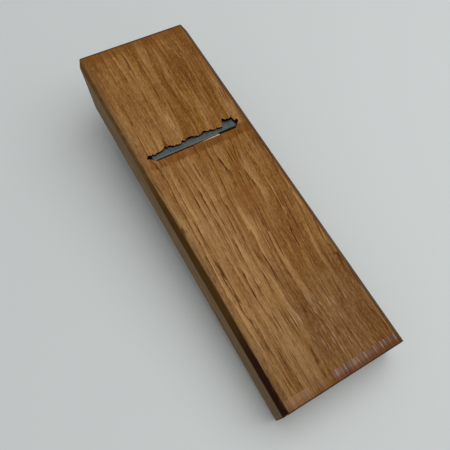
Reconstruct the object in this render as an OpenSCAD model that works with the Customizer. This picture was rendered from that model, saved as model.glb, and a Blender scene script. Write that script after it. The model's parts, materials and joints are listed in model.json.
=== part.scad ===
// A worn Japanese smoothing plane, lying on its back with the sole up.
// The origin is on the sole, at the middle of the mouth's front edge.
// +X runs to the front end, -X to the struck end behind the blade, +Z out of the sole.

/* [Block] */
// Length of the oak block
block_l = 270; // [240:1:320]
// Width of the oak block
block_w = 85; // [82:0.5:100]
// Thickness of the worn block
block_t = 27; // [25:0.5:32]
// Distance from the struck end to the front edge of the mouth
struck_l = 98.5; // [90:0.5:120]
// Chamfer along both long edges of the back
back_chamfer = 4; // [2:0.5:6]
// Chamfer of the sole's left edge where it meets the struck end
left_chamfer_struck = 1.9; // [1:0.1:4]
// Chamfer of the sole's left edge where it meets the front end
left_chamfer_front = 3.1; // [1:0.1:4]
// Chamfer of the sole's right edge
right_chamfer = 2.4; // [1:0.1:4]
// Chamfer of the front end's edge on the back
front_chamfer = 3; // [1:0.5:6]
// Small rounding chamfer of the front end's edge on the sole
front_break = 0.8; // [0.3:0.1:2]
// Length over which the back falls away towards the struck end
fall_l = 67; // [40:1:80]
// How much the back has fallen at the struck end
fall_h = 8; // [3:0.5:12]
// Radius on the struck end's edge at the back
struck_round = 6; // [2:0.5:9]
// Where the facet on each struck corner starts along the cheek, measured at the sole
facet_start = 3.4; // [2.6:0.1:6]
// How fast each facet runs along the cheek for every millimetre of depth
facet_per_depth = 0.96; // [0.5:0.02:1.4]
// How fast each facet runs along the cheek for every millimetre in from it
facet_per_side = 1.32; // [0.9:0.02:2]

/* [Sole] */
// Contact strip at the front end
front_strip = 7; // [3:0.5:15]
// Contact strip in front of the mouth
mouth_strip = 5; // [3:0.5:12]
// Contact strip at the struck end
struck_strip = 4; // [2:0.5:12]
// Depth of the scraped hollows between the contact strips
relief_d = 0.15; // [0.05:0.05:0.4]
// Length of the slope from a strip down into a hollow
relief_run = 4; // [1:0.5:8]

/* [Mouth and throat] */
// Width between the side walls of the throat
throat_w = 60; // [54:0.5:62]
// Gap in front of the cutting edge
mouth_gap = 1; // [0.4:0.1:2]
// Height of the steep bit of the front wall above the mouth
steep_h = 6; // [3:0.5:9]
// Angle of that steep bit to the sole
steep_angle = 84; // [75:1:88]
// Angle of the rest of the front wall to the sole
wall_angle = 57; // [50:1:75]
// Depth to which the broken lip behind the edge is chipped through
chip_d = 2.8; // [2.6:0.1:4]
// How far behind the cutting edge the deepest chip reaches
chip_reach = 8.8; // [7:0.1:10]
// Length of wood left whole beside each end of the cutting edge
lip_corner_l = 2; // [1:0.1:2.4]

/* [Blade] */
// Width of the blade
blade_w = 69.4; // [66:0.2:72]
// Length of the blade along its flat face
blade_l = 80; // [72:1:90]
// Thickness of the blade at the heel of its bevel
blade_t = 6.2; // [5:0.2:8]
// Slope of the bed: 8 up for 10 along
bed_angle = 38.66; // [36:0.5:43]
// Wedge angle between the blade's flat face and its back
blade_taper = 1.6; // [1:0.1:2.5]
// Bevel angle
bevel_angle = 28; // [25:0.5:31]
// Length of the cutting edge
edge_w = 62.1; // [60:0.1:66]
// Height of the ground-off corners beside the cutting edge
edge_corner_l = 5; // [3:0.5:8]
// How far the cutting edge stops short of the sole
edge_set = 0.2; // [0.1:0.05:0.8]
// Radius of the two corners of the head
head_corner_r = 11; // [6:0.5:16]
// Rise of the head's curved end
head_crown = 1.6; // [0.5:0.1:3]
// Chamfer round the head, left by hammering
head_chamfer = 1.1; // [0.4:0.1:2]
// Thickness of the steel layer
steel_t = 2.2; // [1.4:0.1:3]
// Length of the steel layer
steel_l = 52; // [46:1:64]
// Length over which the steel layer thins out
steel_fade = 8; // [4:1:12]
// Depth of the hollow ground into the flat face
hollow_d = 0.5; // [0.2:0.05:0.8]
// Flat left between the hollow and the cutting edge
hollow_land = 3; // [2:0.5:6]
// Flat left along both sides of the hollow
hollow_side = 6; // [4:0.5:10]
// Length of the hollow
hollow_l = 38; // [28:1:42]

/* [Chip breaker] */
// Gap between the side walls and each side of the chip breaker
breaker_side_gap = 0.4; // [0.2:0.1:1]
// Length of the chip breaker
breaker_l = 62; // [54:1:68]
// Thickness of the chip breaker
breaker_t = 3.2; // [2.6:0.1:4]
// Distance of its edge behind the cutting edge
breaker_back = 0.8; // [0.3:0.1:2]
// Angle of its long front bevel
breaker_bevel = 27; // [22:1:40]
// Height of the steep nose at its edge
nose_h = 0.9; // [0.4:0.1:1.4]
// Angle of that steep nose
nose_angle = 62; // [50:1:75]
// Leg of each bent ear along the sides of the corner
ear_leg = 8; // [6:0.5:12]
// How far each ear is bent down
ear_bend = 18; // [10:1:25]
// Thickness of its steel layer
breaker_steel_t = 1.1; // [0.6:0.1:1.6]
// Length of its steel layer
breaker_steel_l = 26; // [16:1:32]
// Clip of its two edge corners and of the tips of its ears
breaker_clip = 2; // [1:0.5:4]

/* [Cross pin] */
// Diameter of the cross pin
pin_d = 5.5; // [4:0.5:7]
// Depth of the pin's axis below the back of the block
pin_inset = 8.8; // [7:0.2:11]
// How far the pin's blind end sits in the left wall
pin_seat = 9; // [6:0.5:10]
// How far the pin's other end lies inside the right cheek
pin_recess = 0.8; // [0.2:0.1:2]

/* [Fits] */
// Gap between the blade and the faces that wedge it
wedge_gap = 0.03; // [0.02:0.01:0.08]
// Gap between each side of the blade and the end of its groove
groove_gap = 0.2; // [0.1:0.05:0.5]
// Gap between the bevel and the wood under it
bevel_gap = 0.3; // [0.2:0.05:0.5]
// Gap between the chip breaker and the blade, and between it and the pin
breaker_gap = 0.03; // [0.02:0.01:0.08]
// Gap round the pin in its hole
pin_gap = 0.02; // [0.01:0.01:0.05]

/* [Hidden] */
through = block_t / 12;
front_x = block_l - struck_l;
flat_angle = bed_angle + blade_taper;
heel_s = blade_t / tan(bevel_angle);
groove_w = blade_w + 2 * groove_gap;
breaker_w = throat_w - 2 * breaker_side_gap;
steep_x = steep_h / tan(steep_angle);
side_r = block_w / 2;
fall_r = (fall_l * fall_l + fall_h * fall_h) / (2 * fall_h);
facet_size = sqrt(1 + facet_per_side * facet_per_side + facet_per_depth * facet_per_depth);
ear_drop = breaker_t * (cos(ear_bend) - 1) + ear_leg / sqrt(2) * sin(ear_bend);
breaker_tilt = asin(ear_drop / breaker_l);
pin_r = pin_d / 2;
pin_z = pin_inset - block_t;
steps = 8;
big_fn = 1440;
bore_fn = 64;

// Shape of the broken lip: across the mouth, then behind the cutting edge, scaled to the mouth's own
// size where it is used. The first and last points are the open ends of the two blade grooves.
lip_break = [
    [-34.9, 3.2], [-31.9, 4.4], [-30.4, 3.6], [-26, 3.5], [-22.8, 4.2], [-21.4, 5.5], [-20.2, 5.8],
    [-19, 4.4], [-18, 5.6], [-15, 3.7], [-12.6, 4], [-11, 3.3], [-9.6, 3.4], [-7.6, 5], [-6, 4.2],
    [-4, 5.9], [-2.4, 5.2], [-1, 5.8], [1.5, 4.2], [5, 4.2], [8.6, 5.3], [11.2, 4.8], [14.8, 3.7],
    [21.6, 3.2], [22.8, 5.6], [23.6, 7.6], [25, 8.8], [26.6, 7.4], [31.2, 7.2], [31.8, 3.8],
    [33.9, 4.8], [34.4, 4]];

function line_meet(p, a, q, b) =
    let (t = ((q[0] - p[0]) * sin(b) - (q[1] - p[1]) * cos(b)) / sin(b - a))
    [p[0] + t * cos(a), p[1] + t * sin(a)];
function arc(cx, cy, r, a0, a1, n) =
    [for (i = [0:n]) let (a = a0 + (a1 - a0) * i / n) [cx + r * cos(a), cy + r * sin(a)]];
function flat_x(depth) = -mouth_gap - (depth - edge_set) / tan(flat_angle);
function back_n(s, gap) = -blade_t - (s - heel_s) * tan(blade_taper) - gap / cos(blade_taper);
function chord_r(half, d) = (half * half + d * d) / (2 * d);

// Side outline extruded across the plane, from its X and Z
module across(w) {
    rotate([90, 0, 0]) linear_extrude(w, center = true) children();
}

// The blade's own axes: X up along its flat face from the cutting edge, Z out of that face
module on_blade() {
    translate([-mouth_gap, 0, -edge_set]) rotate([0, 180 - flat_angle, 0]) children();
}

// The chip breaker's own axes, tipped up by its bent ears
module on_breaker() {
    on_blade() translate([breaker_back, 0, breaker_gap]) rotate([0, -breaker_tilt, 0]) children();
}

// The pin's axis lies where it presses on the chip breaker at its set depth below the back
function pin_s() =
    let (n0 = breaker_gap + (breaker_t + breaker_gap + pin_r) / cos(breaker_tilt))
    (-pin_z - edge_set - (n0 - breaker_back * tan(breaker_tilt)) * cos(flat_angle))
    / (sin(flat_angle) + tan(breaker_tilt) * cos(flat_angle));
function pin_n() =
    breaker_gap + (breaker_t + breaker_gap + pin_r) / cos(breaker_tilt)
    + (pin_s() - breaker_back) * tan(breaker_tilt);
pin_x = -mouth_gap - pin_s() * cos(flat_angle) + pin_n() * sin(flat_angle);

// Side outline of the block: sole with its contact strips, front end, back that falls away
module block_outline() {
    end_z = -block_t + fall_h;
    fall = [for (i = [0:steps]) let (d = fall_l * i / steps)
        [-struck_l + fall_l - d, -block_t + fall_r - sqrt(fall_r * fall_r - d * d)]];
    polygon(concat(
        [[-struck_l, 0], [-struck_l + struck_strip, 0],
         [-struck_l + struck_strip + relief_run, -relief_d],
         [-mouth_gap - 2 * relief_run, -relief_d], [-mouth_gap - relief_run, 0],
         [mouth_strip, 0], [mouth_strip + relief_run, -relief_d],
         [front_x - front_strip - relief_run, -relief_d], [front_x - front_strip, 0],
         [front_x - front_break, 0], [front_x, -front_break],
         [front_x, -block_t + front_chamfer], [front_x - front_chamfer, -block_t]],
        [for (p = fall) if (p[0] > -struck_l + struck_round) p],
        arc(-struck_l + struck_round, end_z + struck_round, struck_round, -90, -180, steps)));
}

// Everything outside a chamfer that runs along an edge of the block at height z.
// c0 and c1 are its sizes at the struck end and at the front end.
module edge_cut(side, z, up, c0, c1) {
    cm = (c0 * front_x + c1 * struck_l) / block_l;
    yaw = atan((c1 - c0) / block_l / sqrt(2));
    translate([0, side * side_r, z]) rotate([-side * up * 45, 0, 0]) mirror([0, 0, up < 0 ? 1 : 0])
        rotate([0, yaw, 0]) translate([-block_l, -block_t, -cm / sqrt(2)])
            cube([2 * block_l, 2 * block_t, block_t]);
}

// Facet that takes off one corner of the struck end, wider towards the back
module corner_cut(side) {
    translate([-struck_l, side * side_r, 0])
        rotate([0, acos(-facet_per_depth / facet_size), side * atan2(facet_per_side, -1)])
            translate([-block_t * 2, -block_t * 2, -facet_start / facet_size])
                cube([block_t * 4, block_t * 4, block_t]);
}

// Open throat in front of the blade, from the mouth's gap to the back
module throat() {
    deep = block_t + through;
    across(throat_w) polygon([
        [-mouth_gap, through], [0, through], [0, 0], [steep_x, -steep_h],
        [steep_x + (deep - steep_h) / tan(wall_angle), -deep], [flat_x(deep), -deep],
        [-mouth_gap, -edge_set]]);
}

// Bed and side grooves: the blade's own wedge with its working gaps, run out through the back
module blade_seat() {
    run = blade_l * 2;
    on_blade() intersection() {
        across(groove_w) polygon([
            [-bevel_gap / sin(bevel_angle) - wedge_gap / tan(bevel_angle), wedge_gap],
            [run, wedge_gap], [run, back_n(run, wedge_gap)],
            line_meet([-bevel_gap / sin(bevel_angle), 0], -bevel_angle,
                      [heel_s, back_n(heel_s, wedge_gap)], -blade_taper)]);
        linear_extrude(blade_l, center = true) polygon(blade_face(groove_gap, run));
    }
}

// Thin lip of wood under the bevel, broken back to a ragged edge
module lip_chips() {
    wide = groove_w / 2 / max([for (p = lip_break) abs(p[0])]);
    deep = chip_reach / max([for (p = lip_break) p[1]]);
    far = [for (p = lip_break) [-mouth_gap - p[1] * deep, p[0] * wide]];
    near = [[-mouth_gap - lip_corner_l, (groove_w + edge_w) / 4],
            [-mouth_gap - lip_corner_l / 2, edge_w / 2],
            [-mouth_gap, throat_w / 2], [-mouth_gap / 2, throat_w / 2]];
    near_back = [for (i = [len(near) - 1:-1:0]) [near[i][0], -near[i][1]]];
    translate([0, 0, -chip_d]) linear_extrude(chip_d + through) polygon(concat(far, near, near_back));
}

module pin_hole() {
    translate([pin_x, side_r + through, pin_z]) rotate([90, 0, 0])
        cylinder(h = side_r + through + throat_w / 2 + pin_seat, r = pin_r + pin_gap, $fn = bore_fn);
}

// Half outline of the blade seen on its flat face, in the blade's X and Y, grown by a gap.
// The ground-off corners run from the cutting edge out to the full width.
function blade_half(gap, end) =
    [[-through, edge_w / 2 + gap - through * (blade_w - edge_w) / 2 / edge_corner_l],
     [edge_corner_l, blade_w / 2 + gap], [end, blade_w / 2 + gap]];
function blade_face(gap, end) =
    concat(blade_half(gap, end), [for (i = [2:-1:0]) let (p = blade_half(gap, end)[i]) [p[0], -p[1]]]);

// Blade's outline with its round-cornered, slightly crowned head
module blade_head_outline() {
    r = head_corner_r;
    c = blade_l - head_crown - r;
    crown_half = blade_w / 2 - r;
    crown_r = chord_r(crown_half, head_crown);
    lean = asin(crown_half / crown_r);
    polygon(concat(
        [blade_half(0, 0)[0], blade_half(0, 0)[1]],
        arc(c, blade_w / 2 - r, r, 90, lean, steps),
        arc(blade_l - crown_r, 0, crown_r, lean, -lean, steps),
        arc(c, r - blade_w / 2, r, -lean, -90, steps),
        [[blade_half(0, 0)[1][0], -blade_half(0, 0)[1][1]],
         [blade_half(0, 0)[0][0], -blade_half(0, 0)[0][1]]]));
}

// The whole forged blade before it is parted into its two layers
module blade_blank() {
    h = head_chamfer;
    intersection() {
        across(blade_w + through) polygon([
            [0, 0], [blade_l - h, 0], [blade_l, -h], [blade_l, back_n(blade_l, 0) + h],
            [blade_l - h, back_n(blade_l - h, 0)], [heel_s, -blade_t]]);
        linear_extrude(blade_l, center = true) blade_head_outline();
    }
}

// Side outline of the steel layer, which thins out up the blade
module steel_zone() {
    across(blade_w + 2 * through) polygon([
        [-through, through], [steel_l, through], [steel_l, 0], [steel_l - steel_fade, -steel_t],
        [-through, -steel_t]]);
}

// Shallow hollow ground into the flat face, as two crossing cylinders of large radius
module face_hollow() {
    half_l = hollow_l / 2;
    half_w = blade_w / 2 - hollow_side;
    rl = chord_r(half_l, hollow_d);
    rw = chord_r(half_w, hollow_d);
    intersection() {
        translate([hollow_land + half_l, 0, rl - hollow_d]) rotate([90, 0, 0])
            cylinder(h = blade_w, r = rl, center = true, $fn = big_fn);
        translate([hollow_land + half_l, 0, rw - hollow_d]) rotate([0, 90, 0])
            cylinder(h = hollow_l + through, r = rw, center = true, $fn = big_fn);
    }
}

// Flat plate of the chip breaker: steep nose, long bevel, plain body
module breaker_plate() {
    nose_x = nose_h / tan(nose_angle);
    bevel_x = nose_x + (breaker_t - nose_h) / tan(breaker_bevel);
    c = breaker_clip;
    half = breaker_w / 2;
    intersection() {
        across(breaker_w + through) polygon([
            [0, 0], [nose_x, nose_h], [bevel_x, breaker_t], [breaker_l - breaker_t / 4, breaker_t],
            [breaker_l, breaker_t * 3 / 4], [breaker_l, 0]]);
        linear_extrude(3 * breaker_t, center = true) polygon([
            [0, half - c], [c, half], [breaker_l - ear_leg, half], [breaker_l, half - ear_leg],
            [breaker_l, ear_leg - half], [breaker_l - ear_leg, -half], [c, -half], [0, c - half]]);
    }
}

// One corner of the plate bent down about the line that cuts it off, along the plate's top
module breaker_ear(side) {
    half = breaker_w / 2;
    leg = ear_leg + breaker_t * tan(ear_bend / 2) * sqrt(2);
    translate([breaker_l - ear_leg / 2, side * (half - ear_leg / 2), breaker_t])
        rotate([0, 0, side * 45]) rotate([0, ear_bend, 0]) rotate([0, 0, -side * 45])
            translate([ear_leg / 2, side * ear_leg / 2, -breaker_t]) linear_extrude(breaker_t)
                polygon([[0, -side * ear_leg], [0, -side * breaker_clip],
                         [-breaker_clip, 0], [-ear_leg, 0],
                         [-leg, 0], [0, -side * leg]]);
}

module breaker_steel_zone() {
    across(breaker_w + 2 * through) polygon([
        [-through, -through], [breaker_steel_l, -through], [breaker_steel_l, 0],
        [breaker_steel_l - 4 * breaker_steel_t, breaker_steel_t], [-through, breaker_steel_t]]);
}

module dai() {
    color("peru") difference() {
        across(block_w) block_outline();
        edge_cut(-1, 0, 1, left_chamfer_struck, left_chamfer_front);
        edge_cut(1, 0, 1, right_chamfer, right_chamfer);
        edge_cut(-1, -block_t, -1, back_chamfer, back_chamfer);
        edge_cut(1, -block_t, -1, back_chamfer, back_chamfer);
        corner_cut(-1);
        corner_cut(1);
        throat();
        blade_seat();
        lip_chips();
        pin_hole();
    }
}

module blade_iron() {
    color("dimgray") on_blade() difference() {
        blade_blank();
        steel_zone();
    }
}

module blade_steel() {
    color("lightsteelblue") on_blade() difference() {
        intersection() {
            blade_blank();
            steel_zone();
        }
        face_hollow();
    }
}

module chip_breaker_iron() {
    color("slategray") on_breaker() difference() {
        union() {
            breaker_plate();
            for (side = [-1, 1]) breaker_ear(side);
        }
        breaker_steel_zone();
    }
}

module chip_breaker_steel() {
    color("silver") on_breaker() intersection() {
        breaker_plate();
        breaker_steel_zone();
    }
}

module cross_pin() {
    color("darkgray") translate([pin_x, side_r - pin_recess, pin_z]) rotate([90, 0, 0])
        cylinder(h = side_r - pin_recess + throat_w / 2 + pin_seat, r = pin_r, $fn = bore_fn);
}

dai();
blade_iron();
blade_steel();
chip_breaker_iron();
chip_breaker_steel();
cross_pin();
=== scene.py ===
# A worn Japanese smoothing plane of pale oak, lying on its back with the sole up.
# Shapes are in metres, and the patterns in the materials in millimetres. +X runs to the front end
# and +Z out of the sole.
import json
import math

import bmesh
import bpy
import numpy as np
from mathutils import Matrix, Vector


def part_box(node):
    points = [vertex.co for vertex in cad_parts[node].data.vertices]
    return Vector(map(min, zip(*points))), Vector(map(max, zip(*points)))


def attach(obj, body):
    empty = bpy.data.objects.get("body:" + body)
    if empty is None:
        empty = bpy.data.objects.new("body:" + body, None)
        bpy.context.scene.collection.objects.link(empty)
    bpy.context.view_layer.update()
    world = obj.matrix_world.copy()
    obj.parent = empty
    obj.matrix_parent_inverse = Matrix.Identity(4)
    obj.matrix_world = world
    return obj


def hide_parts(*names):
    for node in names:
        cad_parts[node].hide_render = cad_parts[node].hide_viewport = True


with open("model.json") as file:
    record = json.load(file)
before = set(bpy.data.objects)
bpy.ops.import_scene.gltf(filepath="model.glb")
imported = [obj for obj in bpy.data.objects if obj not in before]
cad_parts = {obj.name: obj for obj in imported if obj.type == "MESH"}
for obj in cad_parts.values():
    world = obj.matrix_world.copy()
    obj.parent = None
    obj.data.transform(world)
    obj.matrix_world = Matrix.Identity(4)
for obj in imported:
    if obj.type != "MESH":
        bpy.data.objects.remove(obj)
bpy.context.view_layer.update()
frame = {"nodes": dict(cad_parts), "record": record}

# Camera
# It stands above the near left corner and looks back down the length of the sole,
# turned a little in the hand, as the photograph was taken.
camera_place = Vector((0.1602, -0.1068, 0.2844))
camera_aim = Vector((0.0595, -0.0137, 0))
camera_roll = math.radians(13.8)
camera_lens = 41.03


def looking(place, aim):
    """The matrix of something that stands at a place, looks at an aim and keeps its top up."""
    return Matrix.Translation(place) @ (aim - place).to_track_quat("-Z", "Y").to_matrix().to_4x4()


camera_data = bpy.data.cameras.new("camera")
camera_data.sensor_width = 36
camera_data.lens = camera_lens
camera = bpy.data.objects.new("camera", camera_data)
camera.matrix_world = looking(camera_place, camera_aim) @ Matrix.Rotation(camera_roll, 4, "Z")
bpy.context.scene.collection.objects.link(camera)
bpy.context.scene.camera = camera
bpy.context.scene.view_settings.view_transform = "Standard"

# Floor
# The plane lies on the lower edge of its front end and on the head of the blade, which sticks out
# of its back, so the table slopes under it. Beyond the plane the table levels off.
floor_reach = 2.0
floor_ease = 0.07
floor_tail = -0.30
floor_steps = 121
floor_tone = (196, 200, 199)
edge_depth, edge_clear = 1e-4, 0.01


def new_mesh_object(name, points, faces):
    """A mesh object at the origin from an array of points (N, 3) and an array of faces."""
    mesh = bpy.data.meshes.new(name)
    mesh.from_pydata(points.tolist(), [], faces.tolist())
    made = bpy.data.objects.new(name, mesh)
    bpy.context.scene.collection.objects.link(made)
    return made


def sheet_faces(rows, columns):
    """Quads of a grid whose points are numbered row by row."""
    first = (np.arange(rows - 1)[:, None] * columns + np.arange(columns - 1)[None, :]).ravel()
    return np.stack([first, first + columns, first + columns + 1, first + 1], axis=1)


def node_points(name):
    """The corners of a CAD node's mesh as an array (N, 3)."""
    corners = np.empty(len(frame["nodes"][name].data.vertices) * 3)
    frame["nodes"][name].data.vertices.foreach_get("co", corners)
    return corners.reshape(-1, 3)


def smooth(value, low, high):
    """0 below low, 1 above high, and 3t^2 - 2t^3 between them."""
    t = np.clip((value - low) / (high - low), 0, 1)
    return t * t * (3 - 2 * t)


def table_top():
    """Slope under the plane = the steepest line from the front end's lower edge that every corner
    of the block and blade stays above. Height = that slope, eased to nothing past the front edge
    and past the tail, summed along X from the front edge's own height."""
    block = node_points("dai")
    low = block[block[:, 2] < block[:, 2].min() + edge_depth]
    edge = low[low[:, 0].argmax()]
    corners = np.concatenate([block, node_points("blade_iron")])
    behind = corners[corners[:, 0] < edge[0] - edge_clear]
    slope = ((edge[2] - behind[:, 2]) / (edge[0] - behind[:, 0])).max()
    fine = np.linspace(floor_tail - 2 * floor_ease, edge[0] + 2 * floor_ease, floor_steps)
    x = np.concatenate([[-floor_reach], fine, [floor_reach]])
    lean = slope * (1 - smooth(x, edge[0], edge[0] + floor_ease))
    lean *= smooth(x, floor_tail - floor_ease, floor_tail)
    z = np.concatenate([[0], np.cumsum(np.diff(x) * (lean[1:] + lean[:-1]) / 2)])
    z += edge[2] - np.interp(edge[0], x, z)
    y = np.array([-floor_reach, floor_reach])
    points = np.stack(np.broadcast_arrays(x[:, None], y[None, :], z[:, None]), axis=2)
    return points.reshape(-1, 3), sheet_faces(len(x), 2)


def add_node(tree, kind, inputs, **settings):
    """A shader node with its settings and inputs, each input a value or another node's socket."""
    made = tree.nodes.new("ShaderNode" + kind)
    for key, value in settings.items():
        setattr(made, key, value)
    for key, value in inputs.items():
        if isinstance(value, bpy.types.NodeSocket):
            tree.links.new(value, made.inputs[key])
        else:
            made.inputs[key].default_value = value
    return made


def new_material(name, roughness, metal=0.0):
    """A material with its node tree and its Principled shader."""
    made = bpy.data.materials.new(name)
    made.use_nodes = True
    finish = made.node_tree.nodes["Principled BSDF"]
    finish.inputs["Roughness"].default_value = roughness
    finish.inputs["Metallic"].default_value = metal
    return made, made.node_tree, finish


def tone(red, green, blue):
    """A colour written in 0 to 255 steps of sRGB, as the linear colour that a shader takes."""
    share = np.array([red, green, blue]) / 255
    linear = np.where(share <= 0.04045, share / 12.92, ((share + 0.055) / 1.055) ** 2.4)
    return (*linear.tolist(), 1.0)


floor = new_mesh_object("floor", *table_top())
floor_look, _, floor_finish = new_material("pale_table", 0.5)
floor_finish.inputs["Base Color"].default_value = tone(*floor_tone)
floor.data.materials.append(floor_look)

# Light
# One broad soft lamp high over the right side, and an even pale surround. The surround is a little
# brighter where it is seen or mirrored than where it lights the plane.
lamp_place = Vector((-0.02, 0.56, 1.18))
lamp_side = 1.7
lamp_watts = 13.0
surround_colour = (0.97, 0.99, 1.0, 1.0)
surround_light, surround_seen = 0.56, 0.62

lamp_data = bpy.data.lights.new("ceiling", "AREA")
lamp_data.shape = "RECTANGLE"
lamp_data.size = lamp_data.size_y = lamp_side
lamp_data.energy = lamp_watts
lamp = bpy.data.objects.new("ceiling", lamp_data)
lamp.matrix_world = looking(lamp_place, Vector((0, 0, 0)))
bpy.context.scene.collection.objects.link(lamp)
surround = bpy.data.worlds.new("surround")
bpy.context.scene.world = surround
surround.use_nodes = True
air = surround.node_tree
rays = add_node(air, "LightPath", {}).outputs
seen = add_node(air, "Math", {0: rays["Is Camera Ray"], 1: rays["Is Glossy Ray"]},
                operation="MAXIMUM").outputs[0]
strength = add_node(air, "MapRange", {"Value": seen, "To Min": surround_light,
                                      "To Max": surround_seen}).outputs[0]
air.nodes["Background"].inputs["Color"].default_value = surround_colour
air.links.new(strength, air.nodes["Background"].inputs["Strength"])

# Oak block
# One piece of evergreen oak with its pores and broad rays cut across at the sole, planed and
# scraped by hand. The contact strips in front of the mouth and at the two ends are burnished by
# wear, and the thin lip behind the mouth has broken away.
struck_x, front_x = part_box("dai")[0].x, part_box("dai")[1].x
side_y, back_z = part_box("dai")[1].y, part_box("dai")[0].z
spine_z, spine_end = -0.010, 0.012

# Sides, each chamfer with its width at the struck end and at the front end
left_chamfer, right_chamfer, back_chamfer = (0.0019, 0.0031), (0.0024, 0.0024), (0.004, 0.004)
front_chamfer, front_break = 0.003, 0.0008
fall_l, fall_h = 0.067, 0.008
struck_round = 0.006
round_turns = np.radians(np.arange(12, 90, 12))
facet_start, facet_side, facet_depth = 0.0034, 1.32, 0.96
skin_inset = 0.00005
edge_crispness = 330.0
crease_angle = 32

# Scraped hollows between the contact strips: their depths, and from where to where the sole steps
# down or up at each strip and round the one deeper pass
strip_step, scrape_step = 0.00012, 0.00004
struck_strip, mouth_strip, front_strip = struck_x + 0.004, 0.005, front_x - 0.007
scrape_start = 0.042
struck_fall = (struck_strip - 0.0002, struck_strip + 0.0004)
mouth_rise, mouth_fall = (-0.0008, -0.0004), (mouth_strip, mouth_strip + 0.0006)
front_rise = (front_strip - 0.0004, front_strip)
scrape_fall = (scrape_start, scrape_start + 0.0004)
scrape_left, scrape_right = (-0.014, -0.012), (0.018, 0.021)
sole_skin = (-0.0012, -0.0004)
strip_waver, waver_length, waver_seed = 0.00025, 0.006, 5

# Dents along the edges, blows on the struck end and slow waves everywhere
ripple_waves, ripple_gain = 9, 1.6
wave_depth, wave_length, wave_stretch, wave_seed = 0.00002, 0.018, (0.35, 1, 1), 3
wear_seed = 7
dent_count, dent_band = 60, 0.003
dent_sizes, dent_depths = (0.0006, 0.0018), (0.00005, 0.0002)
hammer_count, hammer_y, hammer_z = 18, (-0.032, 0.032), (-0.017, -0.0075)
hammer_sizes, hammer_depths = (0.0022, 0.0036), (0.0001, 0.0004)

# Grid of the skin: places along X with the steps from each to the next, rows that close the ends,
# and how near the edges its columns are close together
skin_stations = ((struck_x, 16), (struck_x + 0.008, 86), (-0.010, 34), (0.004, 6), (0.0062, 44),
                 (scrape_start - 0.001, 6), (scrape_start + 0.001, 118), (front_x - 0.0078, 6),
                 (front_x - 0.0062, 7), (front_x - 0.002, 8), (front_x, 1), (front_x, 0))
struck_rows, front_rows = 30, 14
sole_edge, back_edge = 0.005, 0.006

# Torn lip: where its rim is looked for, how it is torn, and its profile from above the sole down to
# a foot that lies lower the farther it is from the mouth
lip_x, lip_half_y, lip_skin = (-0.012, -0.0032), 0.0355, 0.0002
lip_columns, lip_fibres, lip_seed = 277, 72, 11
lip_flare, lip_end = 0.0018, 0.0015
lip_cover, lip_top, lip_step = 0.0006, 0.001, -0.0004
foot_x, foot_z, foot_waver, foot_fall, foot_start = 0.00005, -0.0010, 0.0008, 0.15, 0.004


def spread(*stops):
    """Places through (place, count) stops, each stretch cut into its count of equal steps."""
    pairs = zip(stops, stops[1:])
    runs = [np.linspace(a, b, count, endpoint=False) for (a, count), (b, _) in pairs]
    return np.concatenate(runs)


def plane_through(a, b, c):
    """Unit normal, out of the block, and offset of the plane through three points."""
    a, b, c = (np.array(p, float) for p in (a, b, c))
    normal = np.cross(b - a, c - a)
    normal /= np.linalg.norm(normal)
    if normal @ a < normal @ np.array([0, 0, spine_z]):
        normal = -normal
    return np.append(normal, normal @ a)


def block_sides():
    """Every flat side of the block as a row of its normal and offset: the faces, the chamfers that
    run along it and across its front end, the facets at the struck corners and tangents of the
    round under the struck end."""
    rows = [[0, 0, 1, 0], [0, 0, -1, -back_z], [1, 0, 0, front_x], [-1, 0, 0, -struck_x],
            [0, 1, 0, side_y], [0, -1, 0, side_y]]
    for side, z, up, (c0, c1) in ((-1, 0, 1, left_chamfer), (1, 0, 1, right_chamfer),
                                  (-1, back_z, -1, back_chamfer), (1, back_z, -1, back_chamfer)):
        rows.append(plane_through((struck_x, side * (side_y - c0), z),
                                  (front_x, side * (side_y - c1), z),
                                  (struck_x, side * side_y, z - up * c0)))
    for z, up, c in ((0, 1, front_break), (back_z, -1, front_chamfer)):
        rows.append(plane_through((front_x - c, 0, z), (front_x, 0, z - up * c),
                                  (front_x - c, 1, z)))
    for side in (-1, 1):
        normal = np.array([-1, facet_side * side, -facet_depth])
        size = np.linalg.norm(normal)
        corner = np.array([struck_x, side * side_y, 0])
        rows.append(np.append(normal / size, (normal @ corner - facet_start) / size))
    centre = np.array([struck_x + struck_round, 0, back_z + fall_h + struck_round])
    for turn in round_turns:
        normal = np.array([-math.sin(turn), 0, -math.cos(turn)])
        rows.append(np.append(normal, normal @ centre + struck_round))
    rows = np.array(rows)
    rows[:, 3] -= skin_inset
    return rows


def fall_sides(x):
    """Normals and offsets of the back where it falls away to the struck end: tangents of a circle
    through the start of the fall, one for each station."""
    radius = (fall_l ** 2 + fall_h ** 2) / (2 * fall_h)
    lean = np.arcsin(np.clip((struck_x + fall_l - x) / radius, 0, 1))
    normals = np.stack([-np.sin(lean), np.zeros_like(lean), -np.cos(lean)], 1)
    centre = np.array([struck_x + fall_l, 0, back_z + radius])
    return normals, normals @ centre + radius - skin_inset


def ripple(points, size, seed):
    """A smooth field of about -1 to 1: the mean of sine waves near the given length, which run in
    seeded directions from seeded phases, times a gain."""
    draw = np.random.default_rng(seed)
    turns = draw.normal(size=(ripple_waves, 3)) * (2 * math.pi / size) / math.sqrt(3)
    phases = draw.uniform(0, 2 * math.pi, ripple_waves)
    return np.sin(points @ turns.T + phases).sum(axis=-1) / ripple_waves * ripple_gain


def dents(points, places, sizes, depths):
    """Sum of round dents, each its depth times exp(-(distance / size) squared)."""
    total = np.zeros(points.shape[:-1])
    for place, size, depth in zip(places, sizes, depths):
        total += depth * np.exp(-((points - place) ** 2).sum(axis=-1) / size ** 2)
    return total


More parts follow.
